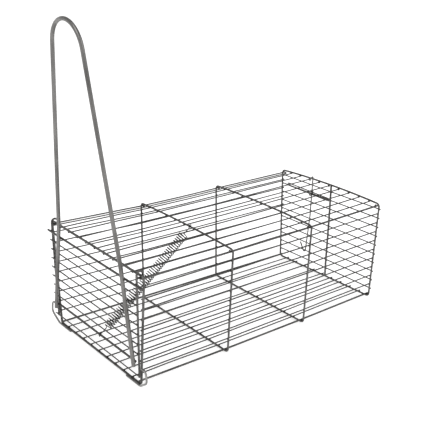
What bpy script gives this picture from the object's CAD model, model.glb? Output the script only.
import math
import random

import bmesh
import bpy
from mathutils import Matrix, Vector


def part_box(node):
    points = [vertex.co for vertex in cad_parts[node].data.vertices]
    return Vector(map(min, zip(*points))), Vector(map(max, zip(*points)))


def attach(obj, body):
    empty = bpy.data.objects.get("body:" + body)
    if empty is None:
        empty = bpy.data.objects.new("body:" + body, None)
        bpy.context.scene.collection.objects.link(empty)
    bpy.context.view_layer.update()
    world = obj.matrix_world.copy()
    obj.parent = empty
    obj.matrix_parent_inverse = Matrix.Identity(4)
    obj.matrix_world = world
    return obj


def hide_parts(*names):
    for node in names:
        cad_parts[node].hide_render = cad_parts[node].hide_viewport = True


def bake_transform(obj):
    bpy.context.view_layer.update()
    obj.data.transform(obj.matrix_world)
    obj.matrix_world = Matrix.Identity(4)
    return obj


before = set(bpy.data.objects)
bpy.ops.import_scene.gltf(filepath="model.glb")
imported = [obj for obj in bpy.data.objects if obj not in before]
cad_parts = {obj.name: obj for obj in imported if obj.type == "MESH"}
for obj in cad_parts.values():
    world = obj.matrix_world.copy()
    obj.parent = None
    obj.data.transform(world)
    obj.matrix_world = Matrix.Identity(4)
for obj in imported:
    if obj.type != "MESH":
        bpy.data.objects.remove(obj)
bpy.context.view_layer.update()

mm = 0.001
dice = random.Random(41)

# Sizes of the cage in millimetres; heights are measured from the floor
cage = {
    "length": 280.0,
    "height": 103.4,
    "roofWidth": 145.0,
    "floorWidth": 138.4,
    "frameWire": 2.2,
    "frameShown": 1.85,
    "frontFrameShown": 2.15,
    "railWire": 1.8,
    "meshWire": 1.2,
    "cornerRadius": 3.5,
    "frames": 4,
    "weld": 0.1,
    "buttWeldY": 24.0,
    "buttGap": 0.1,
    "roofSteps": 12,
    "leftFlare": 7.8,
    "rightFlare": 2.0,
    "topBow": (0.0, 1.5, 1.5, 2.2),
    "rightRearLift": 2.4,
    "rightRearIn": 1.6,
}
bay = cage["length"] / (cage["frames"] - 1)
frameRadius = cage["frameWire"] / 2
meshRadius = cage["meshWire"] / 2
railRadius = cage["railWire"] / 2
roofHalf = cage["roofWidth"] / 2
hingeHeight = cage["height"] - frameRadius
wallLean = (cage["roofWidth"] - cage["floorWidth"]) / 2 / cage["height"]
lowCorner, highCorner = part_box("front_frame")
frontX = (lowCorner[0] + highCorner[0]) / 2 / mm


# Half sizes of each kind of weld along x, y and z, and how far a weld sinks into its wire
knots = {
    "frameButt": (1.1, 1.0, 1.1),
    "longWire": (1.35, 0.95, 0.55),
    "roofTip": (1.05, 1.15, 1.1),
    "rail": (1.4, 0.8, 0.8),
    "edgeWire": (1.2, 1.0, 1.1),
    "sideWire": (1.3, 0.55, 0.95),
    "rearWire": (0.55, 1.3, 0.95),
    "doorWire": (0.6, 1.25, 1.0),
    "rodEnd": (0.8, 1.7, 1.25),
    "legTop": (0.9, 2.3, 1.2),
    "legFoot": (0.9, 2.1, 1.2),
}
knotSink = 0.05


def frameHalf(z):
    return cage["floorWidth"] / 2 - frameRadius + wallLean * z


def flareAt(z, side):
    out = cage["leftFlare"] if side > 0 else cage["rightFlare"]
    return out * z / cage["height"]


def share(value):
    return min(max(value, 0.0), 1.0)


# The welded cage stands a little twisted, its right rear corner off the floor and drawn in
def place(x, y, z):
    toRight = share(0.5 - y / cage["roofWidth"])
    pastMiddle = share(-2 * y / cage["roofWidth"])
    lift = cage["rightRearLift"] * share((x - bay) / (2 * bay)) * toRight
    inward = cage["rightRearIn"] * share((x - 2 * bay) / bay) * pastMiddle
    return Vector(((frontX + x) * mm, (y + inward) * mm, (z + lift) * mm))


def groupSocket(group, name, way, kind, value=None):
    socket = group.interface.new_socket(name=name, in_out=way, socket_type=kind)
    if value is not None:
        socket.default_value = value


def makeWireGroup():
    # Drawn and plated wire: cloudy plating, fine drawing scratches and small dark specks
    group = bpy.data.node_groups.new("drawnWire", "ShaderNodeTree")
    groupSocket(group, "Place", "INPUT", "NodeSocketVector")
    groupSocket(group, "Light", "INPUT", "NodeSocketColor", (0.2, 0.2, 0.2, 1))
    groupSocket(group, "Dark", "INPUT", "NodeSocketColor", (0.05, 0.05, 0.05, 1))
    groupSocket(group, "Cloud Scale", "INPUT", "NodeSocketFloat", 120.0)
    groupSocket(group, "Scratch Scale", "INPUT", "NodeSocketFloat", 1500.0)
    groupSocket(group, "Speck Amount", "INPUT", "NodeSocketFloat", 0.3)
    groupSocket(group, "Smooth", "INPUT", "NodeSocketFloat", 0.25)
    groupSocket(group, "Rough", "INPUT", "NodeSocketFloat", 0.5)
    groupSocket(group, "Color", "OUTPUT", "NodeSocketColor")
    groupSocket(group, "Roughness", "OUTPUT", "NodeSocketFloat")
    groupSocket(group, "Height", "OUTPUT", "NodeSocketFloat")
    nodes, links = group.nodes, group.links
    inside = nodes.new("NodeGroupInput")
    outside = nodes.new("NodeGroupOutput")

    cloud = nodes.new("ShaderNodeTexNoise")
    cloud.inputs["Detail"].default_value = 4.0
    links.new(inside.outputs["Place"], cloud.inputs["Vector"])
    links.new(inside.outputs["Cloud Scale"], cloud.inputs["Scale"])
    spread = nodes.new("ShaderNodeMapRange")
    spread.inputs["From Min"].default_value = 0.35
    spread.inputs["From Max"].default_value = 0.65
    links.new(cloud.outputs["Fac"], spread.inputs["Value"])

    scratch = nodes.new("ShaderNodeTexNoise")
    scratch.inputs["Detail"].default_value = 2.0
    scratch.inputs["Distortion"].default_value = 0.4
    links.new(inside.outputs["Place"], scratch.inputs["Vector"])
    links.new(inside.outputs["Scratch Scale"], scratch.inputs["Scale"])

    tone = nodes.new("ShaderNodeMix")
    tone.data_type = "RGBA"
    links.new(spread.outputs["Result"], tone.inputs["Factor"])
    links.new(inside.outputs["Dark"], tone.inputs["A"])
    links.new(inside.outputs["Light"], tone.inputs["B"])

    speck = nodes.new("ShaderNodeTexVoronoi")
    links.new(inside.outputs["Place"], speck.inputs["Vector"])
    speckScale = nodes.new("ShaderNodeMath")
    speckScale.operation = "MULTIPLY"
    speckScale.inputs[1].default_value = 0.45
    links.new(inside.outputs["Scratch Scale"], speckScale.inputs[0])
    links.new(speckScale.outputs["Value"], speck.inputs["Scale"])
    speckMask = nodes.new("ShaderNodeMapRange")
    speckMask.inputs["From Min"].default_value = 0.22
    speckMask.inputs["From Max"].default_value = 0.05
    links.new(speck.outputs["Distance"], speckMask.inputs["Value"])
    speckPower = nodes.new("ShaderNodeMath")
    speckPower.operation = "MULTIPLY"
    links.new(speckMask.outputs["Result"], speckPower.inputs[0])
    links.new(inside.outputs["Speck Amount"], speckPower.inputs[1])

    finish = nodes.new("ShaderNodeMix")
    finish.data_type = "RGBA"
    links.new(speckPower.outputs["Value"], finish.inputs["Factor"])
    links.new(tone.outputs["Result"], finish.inputs["A"])
    links.new(inside.outputs["Dark"], finish.inputs["B"])
    links.new(finish.outputs["Result"], outside.inputs["Color"])

    worn = nodes.new("ShaderNodeMapRange")
    links.new(scratch.outputs["Fac"], worn.inputs["Value"])
    worn.inputs["From Min"].default_value = 0.3
    worn.inputs["From Max"].default_value = 0.7
    links.new(inside.outputs["Smooth"], worn.inputs["To Min"])
    links.new(inside.outputs["Rough"], worn.inputs["To Max"])
    links.new(worn.outputs["Result"], outside.inputs["Roughness"])

    lift = nodes.new("ShaderNodeMath")
    lift.operation = "SUBTRACT"
    links.new(scratch.outputs["Fac"], lift.inputs[0])
    links.new(speckPower.outputs["Value"], lift.inputs[1])
    links.new(lift.outputs["Value"], outside.inputs["Height"])
    return group


wireGroup = makeWireGroup()

# Finish of each kind of wire: plating colours, metal share, drawing direction and grain
finishes = {
    "meshSteel": {
        "light": (0.085, 0.083, 0.079), "dark": (0.032, 0.031, 0.029), "metal": 0.85,
        "stretch": (0.2, 1, 1), "smooth": 0.28, "rough": 0.5, "speck": 0.3, "bump": 0.25},
    "doorSteel": {
        "light": (0.132, 0.129, 0.125), "dark": (0.052, 0.05, 0.048), "metal": 0.85,
        "stretch": (1, 0.2, 1), "smooth": 0.28, "rough": 0.5, "speck": 0.3, "bump": 0.25},
    "frameSteel": {
        "light": (0.13, 0.127, 0.123), "dark": (0.058, 0.056, 0.054), "metal": 0.85,
        "stretch": (1, 1, 1), "smooth": 0.26, "rough": 0.46, "speck": 0.35, "bump": 0.22},
    "railSteel": {
        "light": (0.122, 0.119, 0.115), "dark": (0.054, 0.052, 0.05), "metal": 0.85,
        "stretch": (0.2, 1, 1), "smooth": 0.26, "rough": 0.46, "speck": 0.35, "bump": 0.22},
    "postSteel": {
        "light": (0.115, 0.112, 0.109), "dark": (0.058, 0.056, 0.054), "metal": 0.85,
        "stretch": (1, 1, 0.25), "smooth": 0.24, "rough": 0.42, "speck": 0.3, "bump": 0.2},
    "handleSteel": {
        "light": (0.205, 0.2, 0.195), "dark": (0.115, 0.112, 0.108), "metal": 0.9,
        "stretch": (1, 1, 0.2), "smooth": 0.2, "rough": 0.36, "speck": 0.25, "bump": 0.16},
    "catchSteel": {
        "light": (0.3, 0.296, 0.29), "dark": (0.16, 0.157, 0.153), "metal": 0.9,
        "stretch": (1, 0.4, 1), "smooth": 0.2, "rough": 0.38, "speck": 0.25, "bump": 0.16},
    "hookSteel": {
        "light": (0.16, 0.158, 0.154), "dark": (0.07, 0.069, 0.067), "metal": 0.88,
        "stretch": (1, 1, 0.3), "smooth": 0.2, "rough": 0.4, "speck": 0.3, "bump": 0.18},
    "springSteel": {
        "light": (0.045, 0.044, 0.042), "dark": (0.012, 0.0115, 0.011), "metal": 0.88,
        "stretch": (1, 1, 1), "smooth": 0.2, "rough": 0.42, "speck": 0.2, "bump": 0.15},
    "weldSteel": {
        "light": (0.1, 0.093, 0.085), "dark": (0.028, 0.025, 0.023), "metal": 0.7,
        "stretch": (1, 1, 1), "smooth": 0.38, "rough": 0.68, "speck": 0.6, "bump": 0.5},
}


def makeSteel(name, look):
    material = bpy.data.materials.new(name)
    material.use_nodes = True
    nodes, links = material.node_tree.nodes, material.node_tree.links
    nodes.clear()
    output = nodes.new("ShaderNodeOutputMaterial")
    shader = nodes.new("ShaderNodeBsdfPrincipled")
    shader.inputs["Metallic"].default_value = look["metal"]
    links.new(shader.outputs["BSDF"], output.inputs["Surface"])
    coordinates = nodes.new("ShaderNodeTexCoord")
    mapping = nodes.new("ShaderNodeMapping")
    mapping.inputs["Scale"].default_value = look["stretch"]
    links.new(coordinates.outputs["Object"], mapping.inputs["Vector"])
    wire = nodes.new("ShaderNodeGroup")
    wire.node_tree = wireGroup
    links.new(mapping.outputs["Vector"], wire.inputs["Place"])
    wire.inputs["Light"].default_value = (*look["light"], 1)
    wire.inputs["Dark"].default_value = (*look["dark"], 1)
    wire.inputs["Smooth"].default_value = look["smooth"]
    wire.inputs["Rough"].default_value = look["rough"]
    wire.inputs["Speck Amount"].default_value = look["speck"]
    links.new(wire.outputs["Color"], shader.inputs["Base Color"])
    links.new(wire.outputs["Roughness"], shader.inputs["Roughness"])
    bump = nodes.new("ShaderNodeBump")
    bump.inputs["Strength"].default_value = look["bump"]
    bump.inputs["Distance"].default_value = 0.0002
    links.new(wire.outputs["Height"], bump.inputs["Height"])
    links.new(bump.outputs["Normal"], shader.inputs["Normal"])
    return material


steels = {name: makeSteel(name, look) for name, look in finishes.items()}
print("materials made:", len(steels))


def roundedPath(corners, radii, arcStep=12.0):
    # Corner points with a bend radius each (0 keeps the point) become one smooth row of points
    path = [corners[0]]
    for before, corner, after, radius in zip(corners, corners[1:], corners[2:], radii):
        arrive = (corner - before).normalized()
        leave = (after - corner).normalized()
        angle = arrive.angle(leave)
        if radius <= 0 or angle < 0.01:
            path.append(corner)
            continue
        setBack = radius * math.tan(angle / 2)
        start = corner - arrive * setBack
        axis = arrive.cross(leave).normalized()
        centre = start + axis.cross(arrive) * radius
        steps = max(2, round(math.degrees(angle) / arcStep))
        for k in range(steps + 1):
            turn = Matrix.Rotation(angle * k / steps, 3, axis)
            path.append(centre + turn @ (start - centre))
    path.append(corners[-1])
    return path


# A cut end: width at the tip and at the shoulder, and how far along the rounding the shoulder is
cutEnd = {"tip": 0.62, "shoulder": 0.88, "shoulderAt": 0.4}


def sweepWire(target, path, diameter, sides=12, rounding=0.3):
    # One wire: a circle is extruded from station to station, and both cut ends are rounded a little
    radius = diameter / 2
    first = (path[1] - path[0]).normalized()
    last = (path[-1] - path[-2]).normalized()
    stations = [
        (path[0], cutEnd["tip"] * radius),
        (path[0] + first * radius * rounding * cutEnd["shoulderAt"], cutEnd["shoulder"] * radius),
        (path[0] + first * radius * rounding, radius),
    ]
    stations += [(point, radius) for point in path[1:-1]]
    stations += [
        (path[-1] - last * radius * rounding, radius),
        (path[-1] - last * radius * rounding * cutEnd["shoulderAt"], cutEnd["shoulder"] * radius),
        (path[-1], cutEnd["tip"] * radius),
    ]
    wire = bmesh.new()
    turn = first.to_track_quat("Z", "Y").to_matrix()
    spot = Matrix.Translation(stations[0][0]) @ turn.to_4x4()
    ring = bmesh.ops.create_circle(
        wire, cap_ends=False, segments=sides, radius=stations[0][1], matrix=spot)["verts"]
    edges = list({edge for vert in ring for edge in vert.link_edges})
    bmesh.ops.edgeloop_fill(wire, edges=edges)
    count = len(stations)
    for i in range(1, count):
        point, size = stations[i]
        if i < count - 1:
            heading = (stations[i + 1][0] - stations[i - 1][0]).normalized()
        else:
            heading = last
        swing = (turn @ Vector((0, 0, 1))).rotation_difference(heading).to_matrix()
        newTurn = swing @ turn
        newSpot = Matrix.Translation(point) @ newTurn.to_4x4()
        grow = Matrix.Scale(size / stations[i - 1][1], 4)
        made = bmesh.ops.extrude_edge_only(wire, edges=edges)["geom"]
        ring = [item for item in made if isinstance(item, bmesh.types.BMVert)]
        edges = [item for item in made if isinstance(item, bmesh.types.BMEdge)]
        ringSet = set(ring)
        edges = [edge for edge in edges if edge.verts[0] in ringSet and edge.verts[1] in ringSet]
        bmesh.ops.transform(wire, matrix=newSpot @ grow @ spot.inverted(), verts=ring)
        turn, spot = newTurn, newSpot
    bmesh.ops.edgeloop_fill(wire, edges=edges)
    bmesh.ops.recalc_face_normals(wire, faces=wire.faces)
    addTo(target, wire)


def addTo(target, part):
    mesh = bpy.data.meshes.new("part")
    part.to_mesh(mesh)
    part.free()
    target.from_mesh(mesh)
    bpy.data.meshes.remove(mesh)


def weldKnot(target, centre, radii):
    # A small spread blob of weld; radii are along x, y and z
    knot = bmesh.new()
    shake = [r * mm * dice.uniform(0.88, 1.14) for r in radii]
    matrix = Matrix.Translation(centre) @ Matrix.Diagonal((*shake, 1))
    bmesh.ops.create_uvsphere(knot, u_segments=8, v_segments=5, radius=1, matrix=matrix)
    addTo(target, knot)


def finishPiece(name, shape, body, steel, replaced=()):
    for face in shape.faces:
        face.smooth = True
    mesh = bpy.data.meshes.new(name)
    shape.to_mesh(mesh)
    shape.free()
    piece = bpy.data.objects.new(name, mesh)
    bpy.context.scene.collection.objects.link(piece)
    piece.data.materials.append(steels[steel])
    if body:
        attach(piece, body)
    if replaced:
        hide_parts(*replaced)
    return piece


def raisedCopy(name, node, lift, body, steel, longer=1.0):
    # A merged copy of a CAD node, raised to where the bowed roof carries it
    shape = bmesh.new()
    shape.from_mesh(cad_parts[node].data)
    bmesh.ops.remove_doubles(shape, verts=shape.verts, dist=0.00001)
    eyeBottom = roofWireHeight - trigger["eyeDepth"]
    below = [vert for vert in shape.verts if vert.co.z < eyeBottom * mm]
    top = Matrix.Translation((0, 0, -eyeBottom * mm))
    bmesh.ops.scale(shape, verts=below, vec=(1, 1, longer), space=top)
    bmesh.ops.translate(shape, verts=shape.verts, vec=(0, 0, lift * mm))
    return finishPiece(name, shape, body, steel, (node,))


# Height that the roof is bowed up by, at x along the cage and y across it
def roofBow(x, y):
    baysAlong = min(max(x / bay, 0), cage["frames"] - 1)
    index = min(int(baysAlong), cage["frames"] - 2)
    near, far = cage["topBow"][index], cage["topBow"][index + 1]
    bow = near + (far - near) * (baysAlong - index)
    return bow * (1 - (y / roofHalf) ** 2)


def framePath(index):
    x = index * bay
    left = frameHalf(hingeHeight) + (flareAt(hingeHeight, 1) if index == 0 else 0)
    right = frameHalf(hingeHeight) + (flareAt(hingeHeight, -1) if index == 0 else 0)
    foot = frameHalf(frameRadius)
    weldY = cage["buttWeldY"]
    corners = [
        place(x, weldY, frameRadius),
        place(x, foot, frameRadius),
        place(x, left, hingeHeight),
    ]
    radii = [cage["cornerRadius"] * mm] * 2
    for k in range(1, cage["roofSteps"]):
        y = left + (-right - left) * k / cage["roofSteps"]
        corners.append(place(x, y, hingeHeight + roofBow(x, y)))
        radii.append(0)
    corners += [
        place(x, -right, hingeHeight),
        place(x, -foot, frameRadius),
        place(x, weldY - cage["buttGap"], frameRadius),
    ]
    radii += [cage["cornerRadius"] * mm] * 2
    return roundedPath(corners, radii)


frameNames = ["front", "second", "third", "rear"]
for index, name in enumerate(frameNames):
    shape = bmesh.new()
    shown = cage["frontFrameShown"] if index == 0 else cage["frameShown"]
    sweepWire(shape, framePath(index), shown * mm, sides=16, rounding=0.12)
    finishPiece(name + "FrameWire", shape, "cage", "frameSteel", (name + "_frame",))

shape = bmesh.new()
for index in range(cage["frames"]):
    # The butt weld that closes each frame
    weldKnot(shape, place(index * bay, cage["buttWeldY"], frameRadius), knots["frameButt"])
finishPiece("frameButtWelds", shape, "cage", "weldSteel")
print("frames made")


roof = {
    "count": 9, "edge": 14.9, "frontTip": -0.6, "rearTip": 0.5, "sway": (0.5, 0.45, 0.1),
    "frontShift": 2.9, "frontSpread": 2.6, "tipRise": 0.2, "rearTipRise": 0.45,
}
floorNet = {
    "count": 9, "edge": 14.2, "frontTip": 1.3, "rearTip": 0.5, "sway": (0.45, 0.5, 0.4),
}
sides = {"count": 9, "low": 14.4, "high": 11.6, "rearTip": 0.5, "sway": (0.4, 0.45, 0.35)}
brace = {"y": -3.6, "wire": 2.1, "foot": 2.1, "waver": 0.15, "steps": 8, "intoRoof": 0.15}

roofWireHeight = cage["height"] - cage["frameWire"] - meshRadius + cage["weld"]
floorWireHeight = cage["frameWire"] + meshRadius - cage["weld"]
stationsPerBay = 8


def swayRow(amounts):
    # A sideways and an upward swing for each bay, nothing where the wire is welded to a frame
    return [(dice.uniform(-a, a), dice.uniform(-a, a) * 0.7) for a in amounts]


def swayAt(x, row):
    index = min(max(int(x / bay), 0), cage["frames"] - 2)
    wave = math.sin(math.pi * min(max(x / bay - index, 0), 1)) ** 2
    return row[index][0] * wave, row[index][1] * wave


def longStations(front, rear):
    total = stationsPerBay * (cage["frames"] - 1)
    inner = [cage["length"] * k / total for k in range(total + 1)]
    return [-front] + inner + [cage["length"] + rear]


roofPitch = (cage["roofWidth"] - 2 * roof["edge"]) / (roof["count"] - 1)
floorPitch = (cage["floorWidth"] - 2 * floorNet["edge"]) / (floorNet["count"] - 1)


def roofShift(x, y):
    # The front frame stands out more to the left, and the roof wires spread with it
    near = max(0.0, 1 - x / bay)
    return near * (roof["frontShift"] + roof["frontSpread"] * y / roofHalf)


shape = bmesh.new()
roofWelds = bmesh.new()
for i in range(roof["count"]):
    y = (i - (roof["count"] - 1) / 2) * roofPitch
    row = swayRow(roof["sway"])
    tipFront = frameRadius + roof["frontTip"] * dice.uniform(0.5, 1)
    tipRear = frameRadius + roof["rearTip"] * dice.uniform(0.2, 1)
    path = []
    for x in longStations(tipFront, tipRear):
        side, up = swayAt(x, row)
        path.append(place(x, y + side + roofShift(x, y), roofWireHeight + up + roofBow(x, y)))
    sweepWire(shape, path, cage["meshWire"] * mm, sides=10)
    for k in range(cage["frames"]):
        x = k * bay
        weldY = y + roofShift(x, y)
        z = roofWireHeight + meshRadius + roofBow(x, y)
        weldKnot(roofWelds, place(x, weldY, z - knotSink), knots["longWire"])
        if k in (0, cage["frames"] - 1):
            rise = roof["tipRise"] if k == 0 else roof["rearTipRise"]
            weldKnot(roofWelds, place(x, weldY, hingeHeight + rise), knots["roofTip"])
finishPiece("roofMeshWires", shape, "cage", "meshSteel", ("roof_wires",))
finishPiece("roofWelds", roofWelds, "cage", "weldSteel")

shape = bmesh.new()
floorWelds = bmesh.new()
for i in range(floorNet["count"]):
    y = (i - (floorNet["count"] - 1) / 2) * floorPitch
    row = swayRow(floorNet["sway"])
    tipFront = frameRadius + floorNet["frontTip"] * dice.uniform(0.5, 1)
    tipRear = frameRadius + floorNet["rearTip"] * dice.uniform(0.2, 1)
    path = []
    for x in longStations(tipFront, tipRear):
        side, up = swayAt(x, row)
        path.append(place(x, y + side, floorWireHeight + abs(up)))
    sweepWire(shape, path, cage["meshWire"] * mm, sides=10)
    for k in range(cage["frames"]):
        spot = place(k * bay, y, floorWireHeight - meshRadius + knotSink)
        weldKnot(floorWelds, spot, knots["longWire"])
finishPiece("floorMeshWires", shape, "cage", "meshSteel", ("floor_wires",))
finishPiece("floorWelds", floorWelds, "cage", "weldSteel")

# Each top rail has a thinner edge wire a little further in and lower
topRail = {
    "wire": 1.4, "edgeWire": 1.2, "inward": 2.6, "lower": 0.9, "proud": 0.2,
    "weldOut": 0.55, "weldUp": 0.75, "edgeWeldDown": 0.1,
}
bendRoom = cage["cornerRadius"] - frameRadius - railRadius + cage["weld"]
cornerStep = cage["cornerRadius"] - bendRoom / math.sqrt(2)
railHeight = hingeHeight - cornerStep
for word, sign in (("left", 1), ("right", -1)):
    shape = bmesh.new()
    welds = bmesh.new()
    inset = frameHalf(hingeHeight) - cornerStep + topRail["proud"]
    strands = (
        (topRail["wire"], 0, 0),
        (topRail["edgeWire"], topRail["inward"], topRail["lower"]),
    )
    for diameter, further, lower in strands:
        row = swayRow((0.3, 0.3, 0.25))
        path = []
        for x in longStations(frameRadius - 0.2, frameRadius - 0.1):
            side, up = swayAt(x, row)
            stand = inset - further + flareAt(railHeight, sign) * max(0.0, 1 - x / bay)
            z = railHeight + topRail["proud"] - lower + up
            path.append(place(x, sign * (stand - abs(side)), z))
        sweepWire(shape, path, diameter * mm, sides=12)
    for k in range(cage["frames"]):
        stand = inset + (flareAt(railHeight, sign) if k == 0 else 0)
        outer = sign * (stand + topRail["weldOut"])
        inner = sign * (stand - topRail["inward"])
        weldKnot(welds, place(k * bay, outer, railHeight + topRail["weldUp"]), knots["rail"])
        spot = place(k * bay, inner, railHeight - topRail["edgeWeldDown"])
        weldKnot(welds, spot, knots["edgeWire"])
    finishPiece(word + "TopRailWires", shape, "cage", "railSteel",
                (word + "_top_rail",))
    finishPiece(word + "RailWelds", welds, "cage", "weldSteel")

bottomRail = {"weldOut": 0.6, "weldDown": 0.7}
for word, sign in (("left", 1), ("right", -1)):
    shape = bmesh.new()
    welds = bmesh.new()
    railY = frameHalf(frameRadius) - cornerStep
    z = frameRadius + cornerStep
    stations = longStations(frameRadius - 0.1, frameRadius)
    path = [place(x, sign * railY, z) for x in stations]
    sweepWire(shape, path, cage["railWire"] * mm, sides=14)
    for k in range(cage["frames"]):
        outer = sign * (railY + bottomRail["weldOut"])
        weldKnot(welds, place(k * bay, outer, z - bottomRail["weldDown"]), knots["rail"])
    finishPiece(word + "BottomRailWire", shape, "cage", "railSteel",
                (word + "_bottom_rail",))
    finishPiece(word + "BottomRailWelds", welds, "cage", "weldSteel")

sidePitch = (cage["height"] - sides["high"] - sides["low"]) / (sides["count"] - 1)
for word, sign in (("left", 1), ("right", -1)):
    shape = bmesh.new()
    welds = bmesh.new()
    for i in range(sides["count"]):
        z = sides["low"] + i * sidePitch
        y = frameHalf(z) - frameRadius - meshRadius + cage["weld"]
        out = flareAt(z, sign)
        row = swayRow(sides["sway"])
        tipRear = frameRadius + sides["rearTip"] * dice.uniform(0.2, 1)
        path = []
        for x in longStations(frameRadius - 0.1, tipRear):
            side, up = swayAt(x, row)
            stand = y + out * max(0.0, 1 - x / bay)
            path.append(place(x, sign * (stand - abs(side)), z + up))
        sweepWire(shape, path, cage["meshWire"] * mm, sides=10)
        for k in range(cage["frames"]):
            stand = y + (out if k == 0 else 0)
            outer = sign * (stand + meshRadius - knotSink)
            weldKnot(welds, place(k * bay, outer, z), knots["sideWire"])
    finishPiece(word + "MeshWires", shape, "cage", "meshSteel",
                (word + "_side_wires",))
    finishPiece(word + "Welds", welds, "cage", "weldSteel")

shape = bmesh.new()
welds = bmesh.new()
rearX = cage["length"] + frameRadius + meshRadius - cage["weld"]
for i in range(sides["count"] + 1):
    z = sides["low"] + (i - 0.5) * sidePitch
    half = frameHalf(z) + frameRadius
    bowOut = dice.uniform(-0.3, 0.3)
    path = []
    leftEnd, rightEnd = half - dice.uniform(0, 0.5), half - dice.uniform(0, 0.5)
    for k in range(13):
        y = leftEnd + (-rightEnd - leftEnd) * k / 12
        path.append(place(rearX, y, z + bowOut * math.sin(math.pi * k / 12)))
    sweepWire(shape, path, cage["meshWire"] * mm, sides=10)
    for y in (frameHalf(z), brace["y"], -frameHalf(z)):
        weldKnot(welds, place(rearX - meshRadius + knotSink, y, z), knots["rearWire"])
finishPiece("rearMeshWires", shape, "cage", "meshSteel", ("rear_wires",))
finishPiece("rearWelds", welds, "cage", "weldSteel")

shape = bmesh.new()
braceTop = hingeHeight - frameRadius + roofBow(cage["length"], brace["y"]) + brace["intoRoof"]
path = []
for k in range(brace["steps"] + 1):
    z = brace["foot"] + (braceTop - brace["foot"]) * k / brace["steps"]
    path.append(place(cage["length"], brace["y"] + brace["waver"] * math.sin(k), z))
sweepWire(shape, path, brace["wire"] * mm, sides=14)
finishPiece("rearBraceWire", shape, "cage", "frameSteel", ("rear_brace",))
print("cage wires made")

# Trigger loop and bait hook
trigger = {"lift": 2.75, "hookLonger": 1.06, "eyeDepth": 4}
raisedCopy("triggerLoopWire", "trigger_loop", trigger["lift"], "trigger", "frameSteel")
raisedCopy("baitHookWire", "bait_hook", trigger["lift"], "hook", "hookSteel",
           trigger["hookLonger"])
print("trigger made")


door = {
    "tilt": 0.6, "gap": 0.25, "post": 1.9, "rod": 2.0, "barHeight": 23.4, "footHeight": 11.6,
    "rodDrop": 8.6, "wires": 7, "reach": 3.2, "eyeClear": 0.4, "eyeWire": 1.25, "eyeTilt": 32,
    "eyeRise": 0.7, "legHalfFoot": 66.3, "legFootHeight": 20, "legHalfRoof": 51.0,
    "legRoofHeight": 107.4, "legHalfBar": 65.2, "legOut": 0.95, "rodEndOut": 0.9,
}
doorLean = math.tan(math.radians(door["tilt"]))


def postX(z):
    return -frameRadius - door["gap"] - door["post"] / 2 - doorLean * z


def wireX(z, d):
    return postX(z) - door["post"] / 2 - d / 2 + cage["weld"]


postLow = frameHalf(0) + 1
eyeGap = door["eyeClear"] + door["eyeWire"] * math.cos(math.radians(door["eyeTilt"]))


def eyeY(side):
    railY = frameHalf(hingeHeight) + flareAt(hingeHeight, side) - cornerStep
    return railY - railRadius - eyeGap - door["post"] / 2


def postY(z, side):
    rise = (z - door["footHeight"]) / (hingeHeight + door["eyeRise"] - door["footHeight"])
    return postLow + (eyeY(side) - postLow) * rise


topRodHeight = cage["height"] - door["rodDrop"]
doorPitch = (topRodHeight - door["barHeight"]) / (door["wires"] + 1)
barX = wireX(door["barHeight"], cage["meshWire"]) - meshRadius + door["rod"] / 2
topRodX = wireX(topRodHeight, door["rod"])

shape = bmesh.new()
welds = bmesh.new()
doorHeights = [door["footHeight"]]
doorHeights += [door["barHeight"] + k * doorPitch for k in range(1, door["wires"] + 1)]
for z in doorHeights:
    leftEnd = postY(z, 1) + door["post"] / 2 + door["reach"] * dice.uniform(0.35, 1)
    rightEnd = postY(z, -1) + door["post"] / 2 - dice.uniform(0, 0.2)
    x = wireX(z, cage["meshWire"])
    bowOut, droop = dice.uniform(-0.25, 0), dice.uniform(-0.35, 0.35)
    path = []
    for k in range(15):
        y = leftEnd + (-rightEnd - leftEnd) * k / 14
        wave = math.sin(math.pi * k / 14)
        path.append(place(x + bowOut * wave, y, z + droop * wave))
    sweepWire(shape, path, cage["meshWire"] * mm, sides=10)
    for side in (1, -1):
        spot = place(x + meshRadius - cage["weld"], side * postY(z, side), z)
        weldKnot(welds, spot, knots["doorWire"])
finishPiece("doorMeshWires", shape, "door", "doorSteel", ("door_wires",))
# The handle's legs come together upwards, from the foot to the roof
legRise = topRodHeight - door["legFootHeight"]
legTall = door["legRoofHeight"] - door["legFootHeight"]
legIn = door["legHalfRoof"] - door["legHalfFoot"]
legHalf = door["legHalfFoot"] + legIn * legRise / legTall
for side in (1, -1):
    spot = place(topRodX + door["rodEndOut"], side * postY(topRodHeight, side), topRodHeight)
    weldKnot(welds, spot, knots["rodEnd"])
    spot = place(topRodX - door["legOut"], side * legHalf, topRodHeight)
    weldKnot(welds, spot, knots["legTop"])
    spot = place(barX - door["legOut"], side * door["legHalfBar"], door["barHeight"])
    weldKnot(welds, spot, knots["legFoot"])
finishPiece("doorWelds", welds, "door", "weldSteel")
print("door wires made")


spring = {
    "outer": 9.2, "wire": 0.9, "turns": 50, "y": -9.36, "reach": 8.5, "stepsPerTurn": 16,
    "lead": 0.6, "ringClear": 0.1, "ringSteps": 20, "ringStep": 9.5, "footRingFrom": -200,
    "topRingFrom": -1, "ringAway": 2.6, "ringOff": 0.25, "coilAway": 1.4, "coilOff": 0.2,
}
springFoot = place(barX, spring["y"], door["barHeight"])
springTop = place(bay, spring["y"], hingeHeight + roofBow(bay, spring["y"]))
alongSpring = (springTop - springFoot).normalized()
springLength = (springTop - springFoot).length / mm
across = Vector((0, 1, 0))
springTurn = Matrix((alongSpring, across, alongSpring.cross(across))).transposed()


def springPoint(x, y, z):
    return springFoot + springTurn @ Vector((x * mm, y * mm, z * mm))


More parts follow.
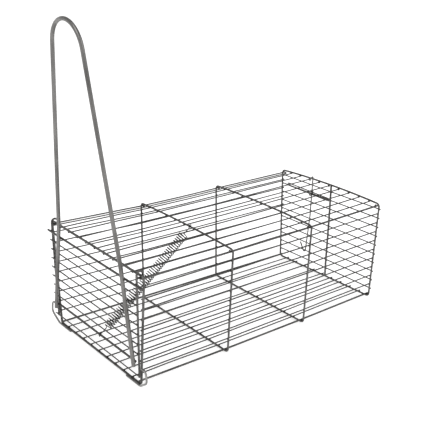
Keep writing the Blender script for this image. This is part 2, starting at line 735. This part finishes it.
coilRadius = (spring["outer"] - spring["wire"]) / 2
footLoop = door["rod"] / 2 + spring["wire"] / 2 + spring["ringClear"]
topLoop = cage["frameWire"] / 2 + spring["wire"] / 2 + spring["ringClear"]
coilStart = spring["reach"] + spring["lead"]
coilEnd = springLength - spring["reach"] - spring["lead"]
path = []
for k in range(spring["ringSteps"]):
    angle = math.radians(spring["footRingFrom"] + spring["ringStep"] * k)
    path.append(springPoint(footLoop * math.cos(angle), 0, -footLoop * math.sin(angle)))
path.append(springPoint(footLoop + spring["ringAway"], 0, spring["ringOff"]))
path.append(springPoint(coilStart - spring["coilAway"], 0, spring["coilOff"]))
steps = spring["turns"] * spring["stepsPerTurn"]
easeIn = spring["stepsPerTurn"] // 2
for k in range(steps + 1):
    angle = 2 * math.pi * k / spring["stepsPerTurn"]
    ease = min(1, (k + 1) / easeIn, (steps - k + 1) / easeIn)
    radius = coilRadius * (1 - (1 - ease) ** 2)
    x = coilStart + (coilEnd - coilStart) * k / steps
    path.append(springPoint(x, radius * math.sin(angle), radius * math.cos(angle)))
path.append(springPoint(coilEnd + spring["coilAway"], 0, spring["coilOff"]))
path.append(springPoint(springLength - topLoop - spring["ringAway"], 0, spring["ringOff"]))
for k in range(spring["ringSteps"]):
    angle = math.radians(spring["topRingFrom"] + spring["ringStep"] * k)
    along = springLength - topLoop * math.cos(angle)
    path.append(springPoint(along, 0, topLoop * math.sin(angle)))
shape = bmesh.new()
sweepWire(shape, path, spring["wire"] * mm, sides=8)
coil = finishPiece("doorSpring", shape, None, "springSteel",
                   ("spring_coil", "spring_frame_hook", "spring_door_hook"))
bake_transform(coil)
print("spring made")


nodeSteels = {
    "left_corner_catch": "catchSteel", "right_corner_catch": "catchSteel",
    "left_door_post": "postSteel", "right_door_post": "postSteel",
    "door_top_rod": "postSteel", "door_lower_bar": "postSteel", "lever_handle": "handleSteel",
}
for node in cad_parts.values():
    steel = steels[nodeSteels.get(node.name, "frameSteel")]
    if not node.material_slots:
        node.data.materials.append(steel)
    for materialSlot in node.material_slots:
        materialSlot.material = steel
print("materials placed")


studio = {
    "floorSize": 14.0, "floorColour": (0.93, 0.93, 0.93), "floorRough": 0.9, "floorShine": 0.1,
    "floorGlow": 0.5, "skyHigh": 0.65, "skyLow": 1.3, "skyBand": 0.8,
}

shape = bmesh.new()
bmesh.ops.create_grid(shape, x_segments=1, y_segments=1, size=studio["floorSize"] / 2)
mesh = bpy.data.meshes.new("studioFloor")
shape.to_mesh(mesh)
shape.free()
studioFloor = bpy.data.objects.new("studioFloor", mesh)
bpy.context.scene.collection.objects.link(studioFloor)
paper = bpy.data.materials.new("paper")
paper.use_nodes = True
paperShader = paper.node_tree.nodes["Principled BSDF"]
paperShader.inputs["Base Color"].default_value = (*studio["floorColour"], 1)
paperShader.inputs["Roughness"].default_value = studio["floorRough"]
paperShader.inputs["Specular IOR Level"].default_value = studio["floorShine"]
paperShader.inputs["Emission Color"].default_value = (1, 1, 1, 1)
paperShader.inputs["Emission Strength"].default_value = studio["floorGlow"]
studioFloor.data.materials.append(paper)

world = bpy.data.worlds.new("studioWorld")
bpy.context.scene.world = world
world.use_nodes = True
nodes, links = world.node_tree.nodes, world.node_tree.links
nodes.clear()
worldOut = nodes.new("ShaderNodeOutputWorld")
seen = nodes.new("ShaderNodeBackground")
seen.inputs["Color"].default_value = (1, 1, 1, 1)
lit = nodes.new("ShaderNodeBackground")
lightPath = nodes.new("ShaderNodeLightPath")
blend = nodes.new("ShaderNodeMixShader")
direction = nodes.new("ShaderNodeTexCoord")
split = nodes.new("ShaderNodeSeparateXYZ")
height = nodes.new("ShaderNodeMapRange")
height.inputs["From Min"].default_value = 0.0
height.inputs["From Max"].default_value = studio["skyBand"]
height.inputs["To Min"].default_value = studio["skyLow"]
height.inputs["To Max"].default_value = studio["skyHigh"]
links.new(direction.outputs["Generated"], split.inputs["Vector"])
links.new(split.outputs["Z"], height.inputs["Value"])
links.new(height.outputs["Result"], lit.inputs["Strength"])
links.new(lightPath.outputs["Is Camera Ray"], blend.inputs["Fac"])
links.new(lit.outputs["Background"], blend.inputs[1])
links.new(seen.outputs["Background"], blend.inputs[2])
links.new(blend.outputs["Shader"], worldOut.inputs["Surface"])

lamps = {
    "keyLamp": {"at": (-0.9, -0.5, 1.9), "size": 1.4, "power": 14.0},
    "fillLamp": {"at": (0.6, -1.6, 1.0), "size": 1.2, "power": 7.0},
}
for name, lamp in lamps.items():
    data = bpy.data.lights.new(name, "AREA")
    data.size = lamp["size"]
    data.energy = lamp["power"]
    light = bpy.data.objects.new(name, data)
    bpy.context.scene.collection.objects.link(light)
    light.location = lamp["at"]
    aim = Vector((0, 0, 0.08)) - Vector(lamp["at"])
    light.rotation_euler = aim.to_track_quat("-Z", "Y").to_euler()

camera = {
    "from": (-351.5, -603.6, 399.4), "bearing": 0.8983, "down": 0.3652, "roll": -0.0237,
    "lens": 73.39,
}
bearing, down, roll = camera["bearing"], camera["down"], camera["roll"]
flat = math.cos(down)
view = Vector((flat * math.cos(bearing), flat * math.sin(bearing), -math.sin(down)))
level = Vector((math.sin(bearing), -math.cos(bearing), 0))
below = view.cross(level)
rightWay = level * math.cos(roll) + below * math.sin(roll)
upWay = rightWay.cross(view)
cameraData = bpy.data.cameras.new("studioCamera")
cameraData.lens = camera["lens"]
cameraData.sensor_width = 36.0
cameraData.clip_start = 0.02
cameraData.clip_end = 60.0
studioCamera = bpy.data.objects.new("studioCamera", cameraData)
bpy.context.scene.collection.objects.link(studioCamera)
turn = Matrix((rightWay, upWay, -view)).transposed().to_4x4()
studioCamera.matrix_world = Matrix.Translation(place(*camera["from"])) @ turn
bpy.context.scene.camera = studioCamera
bpy.context.scene.view_settings.view_transform = "Standard"

print("sizes written")
